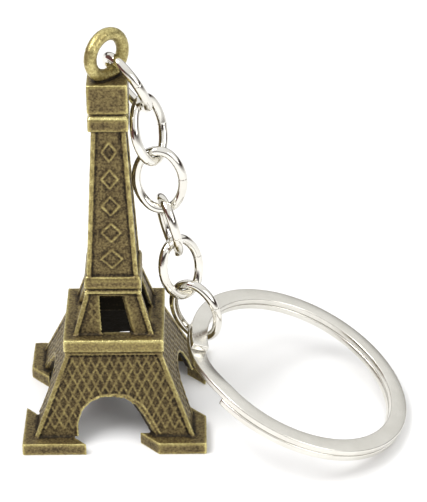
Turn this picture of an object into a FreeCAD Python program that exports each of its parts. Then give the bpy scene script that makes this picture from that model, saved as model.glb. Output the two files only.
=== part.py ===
import FreeCAD, Part
import Sketcher

import math
import os

# A souvenir keychain: a hollow die-cast tower with its hanging loop, six oval cable links and a flat
# split ring.  Millimetres.  Every sub-part is placed about the centre of the tower's footprint, with
# +Z up and the tower's front face looking along -Y; the whole is then centred over the origin.  The
# chain hangs from the loop and carries the ring's near side, and the ring's far side is on the ground.

App = FreeCAD
os.makedirs("parts", exist_ok=True)
doc = FreeCAD.newDocument("keychain")

SIZES = {
    # four feet and the two arch-cut storeys of the tower; "half" means half of a square's width
    "base_half": 10.77,
    "foot_height": 1.5,
    "foot_inner": 8.5,
    "long_foot": 7.57,
    "short_foot": 5.57,
    "leg_foot_half": 9.4,
    "leg_top": 10.6,
    "leg_top_half": 5.62,
    "leg_wall": 1.1,
    "deck_step_half": 5.72,
    "deck_bottom": 11.15,
    "deck_half": 5.85,
    "deck_top": 12.7,
    "tier_foot_half": 4.67,
    "tier_top": 17.3,
    "tier_top_half": 3.27,
    "tier_wall": 0.75,
    "deck_hole_half": 3.9,
    # mouldings between the second storey and the spire
    "groove_half": 3.1,
    "bead_bottom": 17.5,
    "bead_top": 17.8,
    "bead_half": 3.32,
    "ledge_bottom": 18.2,
    "ledge_top": 19.3,
    "ledge_half": 3.3,
    "plinth_top": 19.65,
    "plinth_half": 3.18,
    # spire, collar and cap block
    "spire_foot_half": 2.98,
    "spire_top": 37.95,
    "spire_top_half": 1.92,
    "border": 0.5,
    "relief": 0.22,
    "collar_top": 39.42,
    "collar_half": 2.28,
    "neck_half": 2.02,
    "block_bottom": 40.14,
    "block_top": 43.6,
    "block_half": 2.27,
    # hanging loop
    "loop_height": 46.3,
    "loop_radius": 2.4,
    "loop_wire": 0.72,
    # cable link: outside length and width, the round wire's radius, the joint in the wire
    "link_length": 8.4,
    "link_width": 6.35,
    "link_wire": 0.55,
    "link_end_radius": 2.1,
    "link_seam": 0.06,
    # split ring of flat wire, two turns
    "ring_radius": 14.0,
    "ring_wire_width": 2.03,
    "ring_wire_height": 0.79,
    "ring_turn_pitch": 0.83,
    "ring_ramp": 34.0,
}

sheet = doc.addObject("Spreadsheet::Sheet", "sizes")
for row, (word, value) in enumerate(SIZES.items(), start=1):
    sheet.set("A%d" % row, word)
    sheet.set("B%d" % row, str(value))
    sheet.setAlias("B%d" % row, word)
doc.recompute()


# ---------------------------------------------------------------- helpers for every sub-part
def size(word):
    """The value of one named size."""
    return SIZES[word]


def new_body(name):
    """A named body for one sub-part."""
    body = doc.addObject("PartDesign::Body", name)
    body.Label = name
    return body


def origin_feature(body, role):
    """The body's own origin plane or axis with this role."""
    for feature in body.Origin.OriginFeatures:
        if feature.Role == role:
            return feature
    raise ValueError("no origin feature %s" % role)


def new_sketch(body, name, role="XY_Plane", offset=App.Placement()):
    """A sketch on one of the body's origin planes, moved by an offset."""
    sketch = body.newObject("Sketcher::SketchObject", name)
    sketch.AttachmentSupport = (origin_feature(body, role), [""])
    sketch.MapMode = "FlatFace"
    sketch.AttachmentOffset = offset
    return sketch


def level(height_word):
    """An offset straight up from the ground plane."""
    return App.Placement(App.Vector(0, 0, size(height_word)), App.Rotation())


def closed_outline(sketch, points):
    """Straight lines through the points and back to the first, joined at their ends."""
    first = sketch.GeometryCount
    count = len(points)
    for index in range(count):
        start = App.Vector(*points[index], 0)
        end = App.Vector(*points[(index + 1) % count], 0)
        sketch.addGeometry(Part.LineSegment(start, end))
    for index in range(count):
        other = first + (index + 1) % count
        sketch.addConstraint(Sketcher.Constraint("Coincident", first + index, 2, other, 1))


def centred_square(body, name, half_word, height_word, inset_word=None):
    """A square sketch about the Z axis, sized and placed by the sheet, with an optional inset."""
    inset = size(inset_word) if inset_word else 0
    half = size(half_word) - inset
    sketch = new_sketch(body, name, offset=level(height_word))
    closed_outline(sketch, [(-half, -half), (half, -half), (half, half), (-half, half)])
    for line, direction in enumerate(("Horizontal", "Vertical", "Horizontal", "Vertical")):
        sketch.addConstraint(Sketcher.Constraint(direction, line))
    sketch.addConstraint(Sketcher.Constraint("Symmetric", 0, 1, 2, 1, -1, 1))
    sketch.addConstraint(Sketcher.Constraint("Equal", 0, 1))
    width = sketch.addConstraint(Sketcher.Constraint("DistanceX", 0, 1, 0, 2, 2 * half))
    formula = "(sizes.%s - sizes.%s) * 2" % (half_word, inset_word)
    if not inset_word:
        formula = "sizes.%s * 2" % half_word
    sketch.setExpression("Constraints[%d]" % width, formula)
    sketch.setExpression("AttachmentOffset.Base.z", "sizes.%s" % height_word)
    return sketch


def loft(body, name, lower, upper, kind="PartDesign::AdditiveLoft"):
    """A ruled loft between two sketches."""
    feature = body.newObject(kind, name)
    feature.Profile = lower
    feature.Sections = [upper]
    feature.Ruled = True
    doc.recompute()
    return feature


def slab(body, name, half_word, low, high):
    """A square slab between two heights of the sheet."""
    sketch = centred_square(body, name + "_outline", half_word, low)
    feature = body.newObject("PartDesign::Pad", name)
    feature.Profile = sketch
    feature.Length = size(high) - size(low)
    feature.setExpression("Length", "sizes.%s - sizes.%s" % (high, low))
    doc.recompute()
    return feature


def around(body, name, features, times):
    """Features repeated about the Z axis."""
    pattern = body.newObject("PartDesign::PolarPattern", name)
    pattern.Originals = features
    pattern.Axis = (origin_feature(body, "Z_Axis"), [""])
    pattern.Angle = 360
    pattern.Occurrences = times
    body.Tip = pattern
    doc.recompute()
    return pattern


# ---------------------------------------------------------------- tower
# The casting leaves its mould along the diagonal (1, -1, 0), so the arches and windows are cut
# along that diagonal, and the mould's parting plane holds the hanging loop.
PARTING_PLANE_TURN = 45.0
# Distances along the parting plane and heights, from the outer foot of the opening to the inner.
ARCH_OUTER_FOOT = [(-9.85, -1.0), (-9.45, 1.6)]
ARCH_CURVE = [(-9.1, 2.9), (-8.35, 4.35), (-7.4, 5.25), (-6.4, 5.75), (-5.4, 5.87), (-4.4, 5.7)]
ARCH_INNER_FOOT = [(-3.6, 4.9), (-3.26, 3.6), (-3.02, 1.8), (-2.92, -1.0)]
WINDOW = [(-4.05, 12.75), (-3.27, 17.1), (-1.22, 17.1), (-1.4, 12.75)]


def storey(body, name, half_low, low, half_high, high):
    """A leaning storey: a core set back by the relief, with raised strips up its corners."""
    core_low = centred_square(body, name + "_core_low", half_low, low, "relief")
    core_high = centred_square(body, name + "_core_high", half_high, high, "relief")
    loft(body, name + "_core", core_low, core_high)
    ends = []
    for half_word, height_word in ((half_low, low), (half_high, high)):
        sketch = new_sketch(body, name + "_post_at_" + height_word, offset=level(height_word))
        outer = size(half_word)
        inner = outer - size("border")
        closed_outline(sketch, [(-outer, -outer), (-inner, -outer), (-inner, -inner), (-outer, -inner)])
        sketch.setExpression("AttachmentOffset.Base.z", "sizes.%s" % height_word)
        ends.append(sketch)
    post = loft(body, name + "_post", *ends)
    around(body, name + "_posts", [post], 4)


def hollow(body, name, half_low, low, half_high, high, wall):
    """The cored space inside a storey, open to the space below it."""
    below = centred_square(body, name + "_low", half_low, low, wall)
    above = centred_square(body, name + "_high", half_high, high, wall)
    loft(body, name, below, above, "PartDesign::SubtractiveLoft")


def deck_hole(body):
    """The square way through the deck that joins the two storeys' hollows."""
    sketch = centred_square(body, "deck_hole_outline", "deck_hole_half", "deck_top")
    pocket = body.newObject("PartDesign::Pocket", "deck_hole")
    pocket.Profile = sketch
    pocket.Length = size("deck_top") - size("leg_top")
    pocket.setExpression("Length", "sizes.deck_top - sizes.leg_top")
    doc.recompute()


def cut_along_draw(body, name, points):
    """An opening cut right through along the mould's draw, and again on the far side."""
    turn = App.Rotation(App.Vector(0, 1, 0), PARTING_PLANE_TURN)
    sketch = new_sketch(body, name + "_outline", "XZ_Plane", App.Placement(App.Vector(), turn))
    closed_outline(sketch, points)
    pocket = body.newObject("PartDesign::Pocket", name)
    pocket.Profile = sketch
    pocket.Type = "ThroughAll"
    pocket.Midplane = True
    doc.recompute()
    around(body, name + "_pair", [pocket], 2)


def feet(body):
    """Two long L-shaped feet on the parting plane and two short ones across it."""
    outer = size("base_half")
    inner = size("foot_inner")
    deep = outer - inner
    long_end = size("long_foot") - outer
    short_end = outer - size("short_foot")
    long_foot = [(-outer, -outer), (long_end, -outer), (long_end - deep, -inner)]
    long_foot += [(-inner, -inner), (-inner, long_end - deep), (-outer, long_end)]
    short_foot = [(outer, -outer), (outer, -short_end), (inner, deep - short_end)]
    short_foot += [(inner, -inner), (short_end - deep, -inner), (short_end, -outer)]
    sketch = new_sketch(body, "feet_outline")
    closed_outline(sketch, long_foot)
    closed_outline(sketch, short_foot)
    pad = body.newObject("PartDesign::Pad", "feet_front")
    pad.Profile = sketch
    pad.Length = size("foot_height")
    pad.setExpression("Length", "sizes.foot_height")
    doc.recompute()
    around(body, "feet", [pad], 2)


def hanging_loop(body):
    """The round-wire loop cast on the cap block, in the mould's parting plane."""
    loop = body.newObject("PartDesign::AdditiveTorus", "hanging_loop")
    loop.Radius1 = size("loop_radius")
    loop.Radius2 = size("loop_wire")
    loop.setExpression("Radius1", "sizes.loop_radius")
    loop.setExpression("Radius2", "sizes.loop_wire")
    loop.AttachmentSupport = (origin_feature(body, "XY_Plane"), [""])
    loop.MapMode = "FlatFace"
    draw = App.Rotation(App.Vector(0, 0, 1), App.Vector(1, -1, 0))
    loop.AttachmentOffset = App.Placement(App.Vector(0, 0, size("loop_height")), draw)
    loop.setExpression("AttachmentOffset.Base.z", "sizes.loop_height")
    doc.recompute()


def make_tower():
    """The one-piece tower casting."""
    body = new_body("tower_casting")
    storey(body, "legs", "leg_foot_half", "foot_height", "leg_top_half", "leg_top")
    hollow(body, "legs_core_hole", "leg_foot_half", "foot_height", "leg_top_half", "leg_top", "leg_wall")
    cut_along_draw(body, "arch", ARCH_OUTER_FOOT + ARCH_CURVE + ARCH_INNER_FOOT)
    feet(body)
    slab(body, "deck_step", "deck_step_half", "leg_top", "deck_bottom")
    slab(body, "deck", "deck_half", "deck_bottom", "deck_top")
    deck_hole(body)
    storey(body, "tier", "tier_foot_half", "deck_top", "tier_top_half", "tier_top")
    hollow(body, "tier_core_hole", "tier_foot_half", "deck_top", "tier_top_half", "tier_top", "tier_wall")
    cut_along_draw(body, "window", WINDOW)
    slab(body, "groove", "groove_half", "tier_top", "ledge_bottom")
    slab(body, "bead", "bead_half", "bead_bottom", "bead_top")
    slab(body, "ledge", "ledge_half", "ledge_bottom", "ledge_top")
    slab(body, "plinth", "plinth_half", "ledge_top", "plinth_top")
    storey(body, "spire", "spire_foot_half", "plinth_top", "spire_top_half", "spire_top")
    slab(body, "collar", "collar_half", "spire_top", "collar_top")
    slab(body, "neck", "neck_half", "collar_top", "block_bottom")
    slab(body, "block", "block_half", "block_bottom", "block_top")
    hanging_loop(body)
    return body


# ---------------------------------------------------------------- chain and ring
def make_link(name, place):
    """One oval cable link: four tangent arcs of round wire with a butt joint in one side."""
    half_length = size("link_length") / 2 - size("link_wire")
    half_width = size("link_width") / 2 - size("link_wire")
    end_radius = size("link_end_radius")
    end_centre = half_length - end_radius
    side_radius = (half_width**2 + end_centre**2 - end_radius**2) / (2 * (half_width - end_radius))
    side_centre = side_radius - half_width
    swing = math.atan2(end_centre, side_centre)
    seam = size("link_seam") / 2 / side_radius

    body = new_body(name)
    path = new_sketch(body, name + "_path")

    def arc(x, y, radius, start, end):
        circle = Part.Circle(App.Vector(x, y, 0), App.Vector(0, 0, 1), radius)
        path.addGeometry(Part.ArcOfCircle(circle, start, end))

    arc(-side_centre, 0, side_radius, seam, swing)
    arc(0, end_centre, end_radius, swing, math.pi - swing)
    arc(side_centre, 0, side_radius, math.pi - swing, math.pi + swing)
    arc(0, -end_centre, end_radius, math.pi + swing, 2 * math.pi - swing)
    arc(-side_centre, 0, side_radius, -swing, -seam)

    start = App.Vector(side_radius * math.cos(seam) - side_centre, side_radius * math.sin(seam), 0)
    square_on = App.Rotation(App.Vector(0, 1, 0), App.Vector(0, 0, 1))
    lean = App.Rotation(App.Vector(0, 0, 1), math.degrees(seam))
    section = new_sketch(body, name + "_wire", offset=App.Placement(start, lean.multiply(square_on.inverted())))
    centre = App.Vector(0, 0, 0)
    wire = section.addGeometry(Part.Circle(centre, App.Vector(0, 0, 1), size("link_wire")))
    section.addConstraint(Sketcher.Constraint("Coincident", wire, 3, -1, 1))
    radius = section.addConstraint(Sketcher.Constraint("Radius", wire, size("link_wire")))
    section.setExpression("Constraints[%d]" % radius, "sizes.link_wire")
    doc.recompute()
    sweep = body.newObject("PartDesign::AdditivePipe", name + "_sweep")
    sweep.Profile = section
    sweep.Spine = path
    body.Placement = place
    doc.recompute()
    return body


def make_ring(place):
    """Two turns of flat wire, with the ramp that carries one turn up to the other."""
    body = new_body("split_ring")
    outer = size("ring_radius")
    inner = outer - size("ring_wire_width")
    thick = size("ring_wire_height")
    half_pitch = size("ring_turn_pitch") / 2
    axis = (origin_feature(body, "Z_Axis"), [""])

    def wire_section(name, middle):
        """The wire's cross-section where the ramp starts, at a height along the ring's axis."""
        bottom = middle - thick / 2
        top = middle + thick / 2
        sketch = new_sketch(body, name, "XZ_Plane")
        closed_outline(sketch, [(inner, bottom), (outer, bottom), (outer, top), (inner, top)])
        return sketch

    def flat_turn(name, middle):
        """The part of a turn that lies flat, back round from the ramp."""
        turn = body.newObject("PartDesign::Revolution", name)
        turn.Profile = wire_section(name + "_section", middle)
        turn.ReferenceAxis = axis
        turn.Reversed = True
        turn.Angle = 360 - size("ring_ramp")
        turn.setExpression("Angle", "360 - sizes.ring_ramp")
        doc.recompute()

    flat_turn("lower_turn", -half_pitch)
    ramp = body.newObject("PartDesign::AdditiveHelix", "ramp")
    ramp.Profile = wire_section("ramp_section", -half_pitch)
    ramp.ReferenceAxis = axis
    ramp.Mode = "height-turns-angle"
    ramp.Height = size("ring_turn_pitch")
    ramp.Turns = size("ring_ramp") / 360
    ramp.setExpression("Height", "sizes.ring_turn_pitch")
    ramp.setExpression("Turns", "sizes.ring_ramp / 360")
    doc.recompute()
    flat_turn("upper_turn", half_pitch)
    body.Placement = place
    doc.recompute()
    return body


# ---------------------------------------------------------------- where everything hangs
# Each link's centre, then how it is turned: spin about its own length (its local Y), lean of that
# length out of the vertical, and the compass turn of the lean about +Z, in degrees.
LINK_POSES = [
    ((2.14, 1.10, 42.41), (121.5, 30.6, -179.8)),
    ((4.46, 0.28, 36.95), (-70.6, 17.4, 128.7)),
    ((5.57, -0.47, 30.96), (-161.5, 6.9, 157.5)),
    ((6.56, -0.22, 24.93), (65.0, 13.8, -135.0)),
    ((7.88, 0.28, 18.96), (-144.3, 14.9, -173.4)),
    ((9.56, 0.05, 13.06), (176.7, 21.1, 161.6)),
]
# The ring rests on its right edge with its left edge held up by the last link.
RING_CENTRE = App.Vector(21.69, -2.97, 6.27)
RING_TILT = 23.2
RING_COMPASS = -9.2
RING_SPIN = 200.0


def turned(axis, degrees):
    """A rotation about a unit axis."""
    return App.Rotation(App.Vector(*axis), degrees)


def link_place(centre, spin, lean, compass):
    """A link standing on end, spun, leaned and turned to its place in the chain."""
    upright = turned((1, 0, 0), 90)
    turn = turned((0, 0, 1), compass) * turned((0, 1, 0), lean) * turned((0, 0, 1), spin) * upright
    return App.Placement(App.Vector(*centre), turn)


def ring_place():
    """The leaning ring's place."""
    turn = turned((0, 0, 1), RING_COMPASS) * turned((0, 1, 0), RING_TILT) * turned((0, 0, 1), RING_SPIN)
    return App.Placement(RING_CENTRE, turn)


def centre_over_origin(bodies):
    """Move everything together until the origin is on the ground under the middle of it all."""
    whole = App.BoundBox()
    for body in bodies:
        whole.add(body.Shape.optimalBoundingBox(False))
    for body in bodies:
        place = body.Placement
        place.Base -= App.Vector(whole.Center.x, whole.Center.y, 0)
        body.Placement = place


def check(bodies):
    """Stop if any feature or solid is unsound."""
    for item in doc.Objects:
        if "Invalid" in item.State or "Error" in item.State:
            raise RuntimeError("%s is %s" % (item.Name, item.State))
    for body in bodies:
        shape = body.Shape
        if shape.isNull() or not shape.isValid() or len(shape.Solids) != 1:
            raise RuntimeError("%s is not one sound solid" % body.Label)


bodies = [make_tower()]
for number, (centre, turns) in enumerate(LINK_POSES, start=1):
    bodies.append(make_link("chain_link_%d" % number, link_place(centre, *turns)))
bodies.append(make_ring(ring_place()))
doc.recompute()
centre_over_origin(bodies)
check(bodies)
for body in bodies:
    body.Shape.exportStep("parts/%s.step" % body.Label)
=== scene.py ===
import math

import bpy
import numpy as np
from mathutils import Matrix, Vector, noise
from mathutils.bvhtree import BVHTree


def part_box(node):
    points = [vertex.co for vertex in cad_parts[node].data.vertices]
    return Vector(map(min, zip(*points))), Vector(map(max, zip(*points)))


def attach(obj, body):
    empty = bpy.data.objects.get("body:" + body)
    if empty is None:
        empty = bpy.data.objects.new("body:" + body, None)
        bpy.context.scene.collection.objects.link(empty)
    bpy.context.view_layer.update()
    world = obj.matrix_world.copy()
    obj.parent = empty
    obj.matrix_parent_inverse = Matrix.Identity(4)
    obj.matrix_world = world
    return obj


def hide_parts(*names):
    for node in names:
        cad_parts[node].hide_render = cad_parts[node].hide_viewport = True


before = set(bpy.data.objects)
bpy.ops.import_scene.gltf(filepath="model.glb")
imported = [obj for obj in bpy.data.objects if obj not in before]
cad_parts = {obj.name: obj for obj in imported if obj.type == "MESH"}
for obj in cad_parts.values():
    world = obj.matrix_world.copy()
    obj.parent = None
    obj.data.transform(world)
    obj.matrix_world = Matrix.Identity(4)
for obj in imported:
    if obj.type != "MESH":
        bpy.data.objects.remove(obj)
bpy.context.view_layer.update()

# The looks of a souvenir keychain: an antiqued cast tower charm, a bright cable chain and a split ring.
# Sizes are in millimetres about the centre of the tower's footprint until placed() turns them to metres.

MM = 0.001
SHARP_ANGLE = math.radians(50)

tower_low, tower_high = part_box("tower_casting")
TOWER = Vector(((tower_low.x + tower_high.x) / 2, (tower_low.y + tower_high.y) / 2, 0))


def placed(point):
    """A point in millimetres about the tower, in the row's metres."""
    return TOWER + Vector(point) * MM


def turned(axis, degrees):
    """A rotation about one of the three axes."""
    return Matrix.Rotation(math.radians(degrees), 3, axis)


def mesh_piece(name, points, faces, smooth=True):
    """A mesh object from points in millimetres about the tower."""
    mesh = bpy.data.meshes.new(name)
    mesh.from_pydata([placed(point) for point in points], [], faces)
    mesh.update()
    mesh.polygons.foreach_set("use_smooth", [smooth] * len(mesh.polygons))
    mesh.set_sharp_from_angle(angle=SHARP_ANGLE)
    piece = bpy.data.objects.new(name, mesh)
    bpy.context.scene.collection.objects.link(piece)
    return piece


# ---------------------------------------------------------------- chain and ring shapes
# Cable link: outside length and width, the round wire's radius, the end bends' radius, and the butt
# joint, which is pressed nearly shut.
LINK_LENGTH = 8.4
LINK_WIDTH = 6.35
LINK_WIRE = 0.55
LINK_END_RADIUS = 2.1
SEAM_GAP = 0.012
LINK_STEPS = 144
ROUND_OFF = 1e-9
WIRE_SIDES = 28
# How far back a cut end of a link or of the ring is softened, and how much narrower it ends.
LINK_CUT = (0.01, 0.015)
RING_CUT = (0.05, 0.06)
# The steps of that softening: how far in, and the share of the narrowing there.
CUT_STEPS = ((0.0, 1.0), (0.4, 0.4), (0.8, 0.1))
# Each link's centre, then its spin about its own length, the lean of that length, and its compass turn.
LINK_POSES = [
    ((2.14, 1.10, 42.41), (121.5, 30.6, -179.8)),
    ((4.46, 0.28, 36.95), (-70.6, 17.4, 128.7)),
    ((5.57, -0.47, 30.96), (-161.5, 6.9, 157.5)),
    ((6.56, -0.22, 24.93), (65.0, 13.8, -135.0)),
    ((7.88, 0.28, 18.96), (-144.3, 14.9, -173.4)),
    ((9.56, 0.05, 13.06), (176.7, 21.1, 161.6)),
]
# Split ring of flat wire: the ramp between its two turns is in degrees.
RING_RADIUS = 14.0
RING_WIRE_WIDTH = 2.03
RING_WIRE_HEIGHT = 0.79
RING_TURN_PITCH = 0.83
RING_RAMP = 34.0
RING_STEPS = 460
RING_CORNER = 0.16
RING_CENTRE = Vector((21.69, -2.97, 6.27))
RING_TILT = 23.2
RING_COMPASS = -9.2
RING_SPIN = 200.0


def link_centreline(steps):
    """Points and outward directions round the oval, from one side of the seam to the other."""
    half_length = LINK_LENGTH / 2 - LINK_WIRE
    half_width = LINK_WIDTH / 2 - LINK_WIRE
    end_centre = half_length - LINK_END_RADIUS
    side_radius = half_width**2 + end_centre**2 - LINK_END_RADIUS**2
    side_radius /= 2 * (half_width - LINK_END_RADIUS)
    side_centre = side_radius - half_width
    swing = math.atan2(end_centre, side_centre)
    seam = SEAM_GAP / 2 / side_radius
    arcs = [
        (-side_centre, 0, side_radius, seam, swing),
        (0, end_centre, LINK_END_RADIUS, swing, math.pi - swing),
        (side_centre, 0, side_radius, math.pi - swing, math.pi + swing),
        (0, -end_centre, LINK_END_RADIUS, math.pi + swing, 2 * math.pi - swing),
        (-side_centre, 0, side_radius, -swing, -seam),
    ]
    lengths = [radius * (end - start) for _, _, radius, start, end in arcs]
    stations = []
    for index in range(steps + 1):
        run = sum(lengths) * index / steps
        for (x, y, radius, start, end), length in zip(arcs, lengths):
            if run <= length + ROUND_OFF or length is lengths[-1]:
                break
            run -= length
        angle = start + run / radius
        outward = Vector((math.cos(angle), math.sin(angle), 0))
        stations.append((Vector((x, y, 0)) + outward * radius, outward))
    return stations


def sweep(stations, section):
    """Points and faces of a section carried along stations of (centre, outward, up, shrink)."""
    points = []
    faces = []
    sides = len(section)
    for centre, outward, up, shrink in stations:
        for across, rise in section:
            points.append(centre + outward * across * shrink + up * rise * shrink)
    for row in range(len(stations) - 1):
        for side in range(sides):
            after = (side + 1) % sides
            here, there = row * sides, (row + 1) * sides
            faces.append((here + side, here + after, there + after, there + side))
    faces.append(tuple(reversed(range(sides))))
    last = (len(stations) - 1) * sides
    faces.append(tuple(last + side for side in range(sides)))
    return points, faces


def with_rounded_ends(stations, head_along, tail_along, cut):
    """The first and last stations drawn in so that the cut ends have softened rims."""
    depth, softening = cut
    head = []
    tail = []
    first, last = stations[0], stations[-1]
    for inset_share, soft_share in CUT_STEPS:
        inset = depth * inset_share
        shrink = 1 - soft_share * softening
        head.append((first[0] + head_along * inset, first[1], first[2], shrink))
        tail.append((last[0] - tail_along * inset, last[1], last[2], shrink))
    return head + stations[1:-1] + tail[::-1]


def make_link(number):
    """One link of round wire with its butt joint, in its place in the chain."""
    centre, (spin, lean, compass) = LINK_POSES[number - 1]
    turn = turned("Z", compass) @ turned("Y", lean) @ turned("Z", spin) @ turned("X", 90)
    up = Vector((0, 0, 1))
    along = Vector((0, 1, 0))
    flat = [(point, outward, up, 1.0) for point, outward in link_centreline(LINK_STEPS)]
    flat = with_rounded_ends(flat, along, along, LINK_CUT)
    circle = [2 * math.pi * side / WIRE_SIDES for side in range(WIRE_SIDES)]
    section = [(LINK_WIRE * math.cos(angle), LINK_WIRE * math.sin(angle)) for angle in circle]
    points, faces = sweep(flat, section)
    placed_points = [turn @ point + Vector(centre) for point in points]
    return mesh_piece("link_%d_wire" % number, placed_points, faces)


def rounded_rectangle(width, height, radius, steps=4):
    """A section outline with rounded corners, about its centre."""
    outline = []
    for corner, (side, level) in enumerate(((1, -1), (1, 1), (-1, 1), (-1, -1))):
        x = side * (width / 2 - radius)
        y = level * (height / 2 - radius)
        for step in range(steps + 1):
            angle = math.pi / 2 * (corner - 1 + step / steps)
            outline.append((x + radius * math.cos(angle), y + radius * math.sin(angle)))
    return outline


def make_ring():
    """The split ring's flat wire, wound up its ramp for nearly two turns."""
    turn = turned("Z", RING_COMPASS) @ turned("Y", RING_TILT) @ turned("Z", RING_SPIN)
    middle = RING_RADIUS - RING_WIRE_WIDTH / 2
    up = Vector((0, 0, 1))
    first, last = RING_RAMP - 360, 360
    stations = []
    for index in range(RING_STEPS + 1):
        degrees = first + (last - first) * index / RING_STEPS
        climb = min(max(degrees / RING_RAMP, 0), 1)
        climb = climb * climb * (3 - 2 * climb)
        height = RING_TURN_PITCH * (climb - 0.5)
        angle = math.radians(degrees)
        outward = Vector((math.cos(angle), math.sin(angle), 0))
        stations.append((outward * middle + up * height, outward, up, 1.0))
    ends = []
    for degrees in (first, last):
        angle = math.radians(degrees)
        ends.append(Vector((-math.sin(angle), math.cos(angle), 0)))
    stations = with_rounded_ends(stations, *ends, RING_CUT)
    section = rounded_rectangle(RING_WIRE_WIDTH, RING_WIRE_HEIGHT, RING_CORNER)
    points, faces = sweep(stations, section)
    return mesh_piece("ring_wire", [turn @ point + RING_CENTRE for point in points], faces)


# ---------------------------------------------------------------- tower casting
# Heights and half widths at the foot and the top of the leaning storeys.
LEG_FOOT = (1.5, 9.4)
LEG_TOP = (10.6, 5.62)
TIER_FOOT = (12.7, 4.67)
TIER_TOP = (17.3, 3.27)
SPIRE_FOOT = (19.65, 2.98)
SPIRE_TOP = (37.95, 1.92)
COLLAR_TOP = 39.42
LOOP_FOOT = 43.9
# How far the storeys' faces are set back, and the width of the strips up their corners.
RELIEF = 0.22
BORDER = 0.5
# Relief bars: where the search for metal behind a face starts and how far it goes, the pieces that a
# bar is tried in, how deep its root is buried and the share of its width that its crest has.
PROBE_START = 0.6
PROBE_REACH = 0.72
BAR_STEP = 0.08
BAR_ROOT = 0.15
BAR_CREST = 0.45
# The fused skin's grid, the rounds of smoothing, and the share of its faces that is kept.
VOXEL = 0.115
SMOOTHING = 2
KEPT_FACES = 0.5


def half_width(low, high, height):
    """Half of a leaning storey's width at a height."""
    share = (height - low[0]) / (high[0] - low[0])
    return low[1] + (high[1] - low[1]) * share


def on_face(quarter, low, high, across, height, proud):
    """A point on one of a storey's four faces, proud of the core face by a distance."""
    out = half_width(low, high, height) - RELIEF + proud
    return turned("Z", 90 * quarter) @ Vector((across, -out, height))


class Relief:
    """Thin raised bars gathered into one mesh before the casting is fused."""

    def __init__(self, surface):
        self.surface = surface
        self.points = []
        self.faces = []

    def has_metal(self, quarter, low, high, across, height):
        """Whether there is casting just behind this point of a face."""
        start = on_face(quarter, low, high, across, height, PROBE_START)
        inward = turned("Z", 90 * quarter) @ Vector((0, 1, 0))
        hit = self.surface.ray_cast(start, inward, PROBE_REACH)
        return hit[0] is not None

    def bar(self, quarter, low, high, start, end, width, rise):
        """One straight bar on a face, left out where the face is cut away."""
        run = Vector(end) - Vector(start)
        steps = max(1, int(run.length / BAR_STEP))
        kept = []
        for step in range(steps):
            middle = Vector(start) + run * ((step + 0.5) / steps)
            kept.append(self.has_metal(quarter, low, high, middle.x, middle.y))
        side = Vector((-run.y, run.x)).normalized() * width / 2
        step = 0
        while step < steps:
            if not kept[step]:
                step += 1
                continue
            begin = step
            while step < steps and kept[step]:
                step += 1
            a = Vector(start) + run * (begin / steps)
            b = Vector(start) + run * (step / steps)
            self.strip(quarter, low, high, a, b, side, rise)

    def strip(self, quarter, low, high, a, b, side, rise):
        """A ridge with sloping sides between two points of a face."""
        first = len(self.points)
        for spot in (a, b):
            for share, proud in ((1, -BAR_ROOT), (BAR_CREST, rise), (-BAR_CREST, rise), (-1, -BAR_ROOT)):
                flat = spot + side * share
                self.points.append(on_face(quarter, low, high, flat.x, flat.y, proud))
        for edge in range(4):
            after = (edge + 1) % 4
            self.faces.append((first + edge, first + after, first + 4 + after, first + 4 + edge))
        self.faces.append((first + 3, first + 2, first + 1, first))
        self.faces.append((first + 4, first + 5, first + 6, first + 7))


# The lattice on the legs: its lowest height, margin beside the corners, pitch and steepness, and its
# bars' width and height.
LATTICE_BOTTOM = 2.3
LATTICE_MARGIN = 0.55
LATTICE_PITCH = 1.08
LATTICE_SLOPE = 1.75
LATTICE_WIDTH = 0.17
LATTICE_RISE = 0.11
LATTICE_SAMPLES = 40


def lattice(relief):
    """A diamond lattice over the four faces of the legs, between their corner strips."""
    bottom, tall = LEG_FOOT[0], LEG_TOP[0] - LEG_FOOT[0]
    reach = LEG_FOOT[1] + tall / LATTICE_SLOPE
    count = int(2 * reach / LATTICE_PITCH) + 1
    for quarter in range(4):
        for lean in (-1, 1):
            for index in range(-count, count + 1):
                line = []
                for step in range(LATTICE_SAMPLES + 1):
                    height = bottom + tall * step / LATTICE_SAMPLES
                    across = index * LATTICE_PITCH + lean * (height - bottom) / LATTICE_SLOPE
                    inside = abs(across) < half_width(LEG_FOOT, LEG_TOP, height) - LATTICE_MARGIN
                    if inside and height > LATTICE_BOTTOM:
                        line.append((across, height))
                if len(line) > 1:
                    relief.bar(quarter, LEG_FOOT, LEG_TOP, line[0], line[-1], LATTICE_WIDTH, LATTICE_RISE)


# The arch's outline as distances along the diagonal and heights, and the rim round it.
ARCH = [(9.45, 1.6), (9.1, 2.9), (8.35, 4.35), (7.4, 5.25), (6.4, 5.75), (5.4, 5.87), (4.4, 5.7)]
ARCH += [(3.6, 4.9), (3.26, 3.6), (3.02, 1.8)]
ARCH_MIDDLE_HEIGHT = 2.0
RIM_OFFSET = 0.32
RIM_WIDTH = 0.24
RIM_RISE = 0.16


def arch_rims(relief):
    """A thin rim round each arch."""
    for quarter in range(4):
        flip = 1 if quarter % 2 == 0 else -1
        line = []
        for along, height in ARCH:
            half = half_width(LEG_FOOT, LEG_TOP, height)
            line.append(Vector((flip * (half - along * math.sqrt(2)), height)))
        middle = sum(line, Vector((0, 0))) / len(line)
        middle.y = ARCH_MIDDLE_HEIGHT
        grown = []
        for point in line:
            away = (point - middle).normalized()
            grown.append(point + away * RIM_OFFSET)
        for a, b in zip(grown, grown[1:]):
            relief.bar(quarter, LEG_FOOT, LEG_TOP, a, b, RIM_WIDTH, RIM_RISE)


# The crosses beside each second-storey window: the lowest heights, their height, their two sides'
# places across the face, and the bars.
CROSS_LOWS = (14.2, 15.3)
CROSS_TALL = 1.1
CROSS_OUTER = -2.75
CROSS_INNER = -1.8
CROSS_WIDTH = 0.15
CROSS_RISE = 0.08


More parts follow.
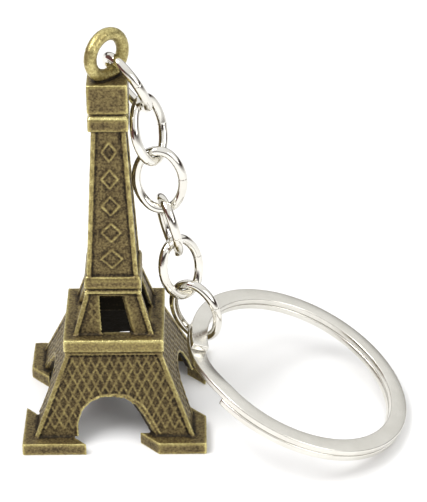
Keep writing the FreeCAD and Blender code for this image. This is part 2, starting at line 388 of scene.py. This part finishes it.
def jamb_crosses(relief):
    """Two faint crosses one above the other, on the broad side of each second-storey window."""
    for quarter in range(4):
        flip = 1 if quarter % 2 == 0 else -1
        outer, inner = CROSS_OUTER * flip, CROSS_INNER * flip
        for low in CROSS_LOWS:
            high = low + CROSS_TALL
            for start, end in (((outer, low), (inner, high)), ((outer, high), (inner, low))):
                relief.bar(quarter, TIER_FOOT, TIER_TOP, start, end, CROSS_WIDTH, CROSS_RISE)


# The shoulder's levels: half width, and height over or under the collar's top.
SHOULDER = ((2.27, -0.2), (2.27, 0.0), (1.9, 0.45))


def collar_bevel(relief):
    """The sloping shoulder between the collar and the neck above it."""
    first = len(relief.points)
    for half, above in SHOULDER:
        for x, y in ((-1, -1), (1, -1), (1, 1), (-1, 1)):
            relief.points.append(Vector((x * half, y * half, COLLAR_TOP + above)))
    for level in (0, 4):
        for corner in range(4):
            after = (corner + 1) % 4
            lower, upper = first + level, first + level + 4
            relief.faces.append((lower + corner, lower + after, upper + after, upper + corner))
    relief.faces.append((first + 3, first + 2, first + 1, first))
    relief.faces.append((first + 8, first + 9, first + 10, first + 11))


# The diamonds on the spire: how many, the lowest centre, their pitch, half height, share of the
# panel's half width, and their bars.
LOZENGE_COUNT = 5
LOZENGE_LOWEST = 21.9
LOZENGE_PITCH = 3.35
LOZENGE_TALL = 1.15
LOZENGE_SHARE = 0.52
LOZENGE_WIDTH = 0.26
LOZENGE_RISE = 0.13


def lozenges(relief):
    """A plain column of raised diamond outlines up each face of the spire."""
    for quarter in range(4):
        for index in range(LOZENGE_COUNT):
            centre = LOZENGE_LOWEST + LOZENGE_PITCH * index
            wide = (half_width(SPIRE_FOOT, SPIRE_TOP, centre) - BORDER) * LOZENGE_SHARE
            bottom, top = centre - LOZENGE_TALL, centre + LOZENGE_TALL
            corners = [(wide, centre), (0, top), (-wide, centre), (0, bottom)]
            for a, b in zip(corners, corners[1:] + corners[:1]):
                relief.bar(quarter, SPIRE_FOOT, SPIRE_TOP, a, b, LOZENGE_WIDTH, LOZENGE_RISE)


def cad_shell():
    """The tower's CAD surface in millimetres about its own centre, with its seams closed."""
    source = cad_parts["tower_casting"].data
    points = [(vertex.co - TOWER) / MM for vertex in source.vertices]
    keys = {}
    merged = []
    index_of = []
    for point in points:
        key = tuple(round(value, 4) for value in point)
        if key not in keys:
            keys[key] = len(merged)
            merged.append(point)
        index_of.append(keys[key])
    faces = []
    for polygon in source.polygons:
        corners = [index_of[vertex] for vertex in polygon.vertices]
        if len(set(corners)) == len(corners):
            faces.append(corners)
    return merged, faces


def fused(name, points, faces):
    """Overlapping closed shells fused into one casting skin with softened edges."""
    mesh = bpy.data.meshes.new(name)
    mesh.from_pydata(points, [], faces)
    mesh.update()
    rough = bpy.data.objects.new(name, mesh)
    bpy.context.scene.collection.objects.link(rough)
    remesh = rough.modifiers.new("skin", "REMESH")
    remesh.mode = "VOXEL"
    remesh.voxel_size = VOXEL
    soften = rough.modifiers.new("soften", "SMOOTH")
    soften.factor = 0.5
    soften.iterations = SMOOTHING
    graph = bpy.context.evaluated_depsgraph_get()
    result = bpy.data.meshes.new_from_object(rough.evaluated_get(graph))
    bpy.data.objects.remove(rough)
    return result


def thinned(mesh):
    """The same skin with fewer faces."""
    full = bpy.data.objects.new("full_skin", mesh)
    bpy.context.scene.collection.objects.link(full)
    thin = full.modifiers.new("thin", "DECIMATE")
    thin.ratio = KEPT_FACES
    graph = bpy.context.evaluated_depsgraph_get()
    result = bpy.data.meshes.new_from_object(full.evaluated_get(graph))
    bpy.data.objects.remove(full)
    return result


# How far in from a storey's faces its hollow is told from its outside, how high the hollow starts, and
# the reach from the middle that lies inside the way through the deck; the skin found inside gets painted
# shade.
HOLLOW_INSET = 0.6
HOLLOW_BOTTOM = 1.7
DECK_HOLE_REACH = 4.6


def inside_hollow(point):
    """Whether a point of the skin faces the tower's hollow."""
    reach = max(abs(point[0]), abs(point[1])) + HOLLOW_INSET
    if HOLLOW_BOTTOM < point[2] < LEG_TOP[0]:
        return reach < half_width(LEG_FOOT, LEG_TOP, point[2])
    if TIER_FOOT[0] < point[2] < TIER_TOP[0]:
        return reach < half_width(TIER_FOOT, TIER_TOP, point[2])
    return LEG_TOP[0] <= point[2] <= TIER_FOOT[0] and reach < DECK_HOLE_REACH


# Bands where the casting is made brighter: lowest and highest height, and how much. The deck and the loop
# are rubbed bright by handling; the band on the collar's shoulder is a painted highlight, where the
# sloping shoulder catches the light from above.
RUBBED_AND_PAINTED_HIGHLIGHT = [
    (11.2, 12.65, 0.35),
    (COLLAR_TOP - 0.02, COLLAR_TOP + 0.42, 1.6),
    (LOOP_FOOT, 50.0, 0.55),
]
# The painted shade inside the hollow: how much darker the skin there is made.
HOLLOW_PAINTED_SHADE = 1.3
# The rounds of smoothing that a spot is compared with, the rounds that even out the difference, and
# the difference that counts as fully proud.
COMPARED_ROUNDS = 4
EVENING_ROUNDS = 2
FULLY_PROUD = 0.035
PROUD_LIMIT = 1.5
# The cast grain's height, and the noise it is made of.
GRAIN_HEIGHT = 0.022
COARSE_GRAIN = 2.2
FINE_GRAIN = 5.5
FINE_SHARE = 0.6


def rubbing_and_painted_highlight(point):
    """How much the skin is brightened at a point: rubbed by handling, and a painted highlight on the
    collar's shoulder.
    """
    return sum(amount for low, high, amount in RUBBED_AND_PAINTED_HIGHLIGHT if low < point[2] < high)


def neighbour_mean(values, edges, count):
    """The mean of each vertex's neighbours."""
    total = np.zeros_like(values)
    degree = np.zeros(count)
    np.add.at(total, edges[:, 0], values[edges[:, 1]])
    np.add.at(total, edges[:, 1], values[edges[:, 0]])
    np.add.at(degree, edges[:, 0], 1)
    np.add.at(degree, edges[:, 1], 1)
    degree = np.maximum(degree, 1)
    return total / (degree[:, None] if values.ndim == 2 else degree)


def read_rows(items, word, width, kind=float):
    """One property of every vertex or edge, as rows."""
    values = np.zeros(len(items) * width, kind)
    items.foreach_get(word, values)
    return values.reshape(-1, width)


def grain(point):
    """The cast grain at a point."""
    place = Vector(point)
    return noise.noise(place * COARSE_GRAIN) + FINE_SHARE * noise.noise(place * FINE_GRAIN)


def roughen(mesh):
    """A fine cast grain, and how proud or sunk each spot is, with painted shade in the hollow and the
    rubbed and painted-highlight bands added, kept for the finish.
    """
    count = len(mesh.vertices)
    points = read_rows(mesh.vertices, "co", 3)
    normals = read_rows(mesh.vertices, "normal", 3)
    edges = read_rows(mesh.edges, "vertices", 2, int)

    smooth = points.copy()
    for _ in range(COMPARED_ROUNDS):
        smooth = neighbour_mean(smooth, edges, count)
    proud = ((points - smooth) * normals).sum(axis=1)
    for _ in range(EVENING_ROUNDS):
        proud = (proud + neighbour_mean(proud, edges, count)) / 2
    proud = proud / FULLY_PROUD
    # Painted shade: the skin that faces the tower's hollow is darkened.
    proud -= [HOLLOW_PAINTED_SHADE * inside_hollow(point) for point in points]
    # The bands add rubbed brightness on the deck and the loop, and a painted highlight on the collar's
    # shoulder.
    proud += [rubbing_and_painted_highlight(point) for point in points]

    heights = np.array([grain(point) for point in points]) * GRAIN_HEIGHT
    points = points + normals * heights[:, None]
    mesh.vertices.foreach_set("co", ((points * MM) + np.array(TOWER)).ravel())
    layer = mesh.attributes.new("proud", "FLOAT", "POINT")
    layer.data.foreach_set("value", np.clip(proud, -PROUD_LIMIT, PROUD_LIMIT).astype(np.float32))
    mesh.polygons.foreach_set("use_smooth", [True] * len(mesh.polygons))
    mesh.update()


def make_tower():
    """The one-piece casting with its raised lattice."""
    points, faces = cad_shell()
    relief = Relief(BVHTree.FromPolygons(points, faces))
    lattice(relief)
    jamb_crosses(relief)
    collar_bevel(relief)
    arch_rims(relief)
    lozenges(relief)
    base = len(points)
    points = points + relief.points
    faces = faces + [tuple(base + corner for corner in face) for face in relief.faces]
    dense = fused("tower_skin", points, faces)
    roughen(dense)
    tower = bpy.data.objects.new("tower_cast_skin", thinned(dense))
    bpy.context.scene.collection.objects.link(tower)
    return tower


# ---------------------------------------------------------------- finishes
def fill_ramp(ramp, stops):
    """Give a colour ramp its (place, colour) stops."""
    while len(ramp.elements) < len(stops):
        ramp.elements.new(0.5)
    for element, (place, colour) in zip(ramp.elements, stops):
        element.position = place
        element.color = (*colour, 1)


class Nodes:
    """A short way to write a node material."""

    def __init__(self, name):
        self.material = bpy.data.materials.new(name)
        self.material.use_nodes = True
        self.tree = self.material.node_tree
        self.shader = self.tree.nodes["Principled BSDF"]

    def add(self, kind, **settings):
        """A node with its plain settings."""
        node = self.tree.nodes.new(kind)
        for word, value in settings.items():
            setattr(node, word, value)
        return node

    def join(self, output, target):
        """Wire an output to an input."""
        self.tree.links.new(output, target)

    def noise(self, scale, detail, roughness=0.6):
        """A noise value over the object in its own place."""
        place = self.add("ShaderNodeTexCoord")
        node = self.add("ShaderNodeTexNoise")
        node.inputs["Scale"].default_value = scale
        node.inputs["Detail"].default_value = detail
        node.inputs["Roughness"].default_value = roughness
        self.join(place.outputs["Object"], node.inputs["Vector"])
        return node.outputs["Fac"]

    def ramp(self, value, stops):
        """A colour ramp of (place, colour) stops."""
        node = self.add("ShaderNodeValToRGB")
        fill_ramp(node.color_ramp, stops)
        self.join(value, node.inputs["Fac"])
        return node.outputs["Color"]

    def scaled(self, value, factor, offset):
        """value * factor + offset."""
        node = self.add("ShaderNodeMath", operation="MULTIPLY_ADD")
        self.join(value, node.inputs[0])
        node.inputs[1].default_value = factor
        node.inputs[2].default_value = offset
        return node.outputs[0]

    def total(self, first, second):
        """The sum of two values."""
        node = self.add("ShaderNodeMath", operation="ADD")
        self.join(first, node.inputs[0])
        self.join(second, node.inputs[1])
        return node.outputs[0]

    def bump(self, height, strength, distance):
        """A bump on the surface."""
        node = self.add("ShaderNodeBump")
        node.inputs["Strength"].default_value = strength
        node.inputs["Distance"].default_value = distance
        self.join(height, node.inputs["Height"])
        self.join(node.outputs["Normal"], self.shader.inputs["Normal"])


# Colour ramps, as a place from 0 to 1 and the colour there.
# The bronze ramp: dark patina and painted shade at the low end, rubbed brass and painted highlight at the
# high end.
BRONZE_WEAR_AND_PAINTED_LIGHT = [
    (0.0, (0.019, 0.014, 0.007)),
    (0.18, (0.074, 0.053, 0.024)),
    (0.34, (0.165, 0.124, 0.053)),
    (0.62, (0.33, 0.268, 0.100)),
    (1.0, (0.74, 0.66, 0.29)),
]
NICKEL_CLOUD = [(0.3, (0.72, 0.70, 0.64)), (0.7, (0.82, 0.80, 0.745))]
FLOOR_WHITE = [(0.3, (0.86, 0.86, 0.86)), (0.7, (0.88, 0.88, 0.88))]


def antique_bronze():
    """Dark olive-brown patina in the hollows, rubbed to brass on the proud edges, with painted shade on
    the skin inside the tower and a painted highlight on the collar's shoulder.
    """
    nodes = Nodes("antique_bronze")
    proud = nodes.add("ShaderNodeAttribute", attribute_name="proud").outputs["Fac"]
    blotch = nodes.noise(scale=500, detail=5)
    speck = nodes.noise(scale=3800, detail=3)
    # The proud attribute holds patina and wear from the skin's shape, and also painted shade and a
    # painted highlight.
    shape_wear_and_painted_light = nodes.scaled(proud, factor=0.42, offset=0.0)
    wear_and_painted_light = nodes.total(shape_wear_and_painted_light, nodes.scaled(blotch, factor=0.36, offset=0.13))
    wear_and_painted_light = nodes.total(wear_and_painted_light, nodes.scaled(speck, factor=0.9, offset=-0.45))
    nodes.join(nodes.ramp(wear_and_painted_light, BRONZE_WEAR_AND_PAINTED_LIGHT), nodes.shader.inputs["Base Color"])
    nodes.shader.inputs["Metallic"].default_value = 0.75
    nodes.join(nodes.scaled(wear_and_painted_light, factor=-0.32, offset=0.55), nodes.shader.inputs["Roughness"])
    nodes.bump(speck, strength=0.6, distance=0.00008)
    return nodes.material


def nickel_plate(name, roughness):
    """Nickel plate with the faint cloudiness of handled wire."""
    nodes = Nodes(name)
    cloud = nodes.noise(scale=300, detail=3)
    nodes.join(nodes.ramp(cloud, NICKEL_CLOUD), nodes.shader.inputs["Base Color"])
    nodes.shader.inputs["Metallic"].default_value = 1.0
    nodes.join(nodes.scaled(cloud, factor=0.12, offset=roughness), nodes.shader.inputs["Roughness"])
    nodes.bump(nodes.noise(scale=900, detail=2), strength=0.04, distance=0.00005)
    return nodes.material


def white_floor():
    """Plain matt white."""
    nodes = Nodes("white_floor")
    tone = nodes.ramp(nodes.noise(scale=8, detail=2), FLOOR_WHITE)
    nodes.join(tone, nodes.shader.inputs["Base Color"])
    nodes.shader.inputs["Roughness"].default_value = 0.9
    return nodes.material


# ---------------------------------------------------------------- build
def show(piece, node, material):
    """Finish a piece and put it in place of its CAD node, riding with the same body."""
    piece.data.materials.append(material)
    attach(piece, node)
    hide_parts(node)


show(make_tower(), "tower_casting", antique_bronze())
bright = nickel_plate("bright_nickel", roughness=0.04)
for number in range(1, len(LINK_POSES) + 1):
    show(make_link(number), "chain_link_%d" % number, bright)
show(make_ring(), "split_ring", nickel_plate("satin_nickel", roughness=0.18))


# ---------------------------------------------------------------- stage, light and camera
FLOOR_HALF = 600.0
LIGHT_AIM = (8, 0, 20)
floor = mesh_piece("floor", [
    (-FLOOR_HALF, -FLOOR_HALF, 0),
    (FLOOR_HALF, -FLOOR_HALF, 0),
    (FLOOR_HALF, FLOOR_HALF, 0),
    (-FLOOR_HALF, FLOOR_HALF, 0),
], [(0, 1, 2, 3)], smooth=False)
floor.data.materials.append(white_floor())


def softbox(name, spot, size, power):
    """A square area light aimed at the keychain."""
    data = bpy.data.lights.new(name, "AREA")
    data.size = size * MM
    data.energy = power
    light = bpy.data.objects.new(name, data)
    bpy.context.scene.collection.objects.link(light)
    light.location = placed(spot)
    way = placed(LIGHT_AIM) - placed(spot)
    light.rotation_euler = way.to_track_quat("-Z", "Y").to_euler()


softbox("key_light", spot=(-120, -60, 230), size=150, power=0.55)
softbox("fill_light", spot=(170, -150, 130), size=130, power=0.16)


# The card's place left of the tower, its near and far edges, its height, and its two brown tones.
CARD_LEFT = -90
CARD_NEAR = -150
CARD_FAR = 60
CARD_TOP = 120
CARD_BROWN = (0.12, 0.048, 0.04)
CARD_MOTTLE = 1.2


def reddish_card():
    """A matt card out of the camera's sight, for the bright wire to reflect."""
    corners = [(CARD_LEFT, CARD_NEAR, 0), (CARD_LEFT, CARD_FAR, 0)]
    corners += [(CARD_LEFT, CARD_FAR, CARD_TOP), (CARD_LEFT, CARD_NEAR, CARD_TOP)]
    board = mesh_piece("left_card", corners, [(0, 1, 2, 3)], smooth=False)
    nodes = Nodes("left_card")
    paler = [value * CARD_MOTTLE for value in CARD_BROWN]
    tone = nodes.ramp(nodes.noise(scale=20, detail=2), [(0.3, CARD_BROWN), (0.7, paler)])
    nodes.join(tone, nodes.shader.inputs["Base Color"])
    nodes.shader.inputs["Roughness"].default_value = 0.8
    board.data.materials.append(nodes.material)
    board.visible_camera = False
    board.visible_shadow = False


reddish_card()

# The studio's brightness against the height of the direction that is looked in.
STUDIO_HEIGHTS = [
    (0.0, (0.55, 0.53, 0.52)),
    (0.10, (0.04, 0.028, 0.024)),
    (0.24, (0.05, 0.038, 0.034)),
    (0.34, (0.92, 0.92, 0.91)),
    (1.0, (1.0, 1.0, 1.0)),
]


def studio_world():
    """A pale studio all round, with a dark band low down for the wires to reflect."""
    world = bpy.data.worlds.new("studio")
    bpy.context.scene.world = world
    world.use_nodes = True
    tree = world.node_tree
    background = tree.nodes["Background"]
    place = tree.nodes.new("ShaderNodeTexCoord")
    split = tree.nodes.new("ShaderNodeSeparateXYZ")
    tree.links.new(place.outputs["Generated"], split.inputs[0])
    ramp = tree.nodes.new("ShaderNodeValToRGB")
    tree.links.new(split.outputs["Z"], ramp.inputs["Fac"])
    fill_ramp(ramp.color_ramp, STUDIO_HEIGHTS)
    tree.links.new(ramp.outputs["Color"], background.inputs["Color"])
    background.inputs["Strength"].default_value = 1.0


studio_world()

CAMERA_AIM = (11.68, 0.0, 21.27)
CAMERA_DISTANCE = 212.35
CAMERA_COMPASS = math.radians(-0.695)
CAMERA_RISE = math.radians(30.867)
CAMERA_LENS = 131.103
CAMERA_SENSOR = 36.0
CAMERA_NEAREST = 0.01

back = Vector((
    math.sin(CAMERA_COMPASS) * math.cos(CAMERA_RISE),
    -math.cos(CAMERA_COMPASS) * math.cos(CAMERA_RISE),
    math.sin(CAMERA_RISE),
))
lens = bpy.data.cameras.new("camera")
lens.sensor_width = CAMERA_SENSOR
lens.lens = CAMERA_LENS
lens.clip_start = CAMERA_NEAREST
camera = bpy.data.objects.new("camera", lens)
bpy.context.scene.collection.objects.link(camera)
camera.location = placed(Vector(CAMERA_AIM) + back * CAMERA_DISTANCE)
camera.rotation_euler = (-back).to_track_quat("-Z", "Y").to_euler()
bpy.context.scene.camera = camera
bpy.context.scene.view_settings.view_transform = "Standard"
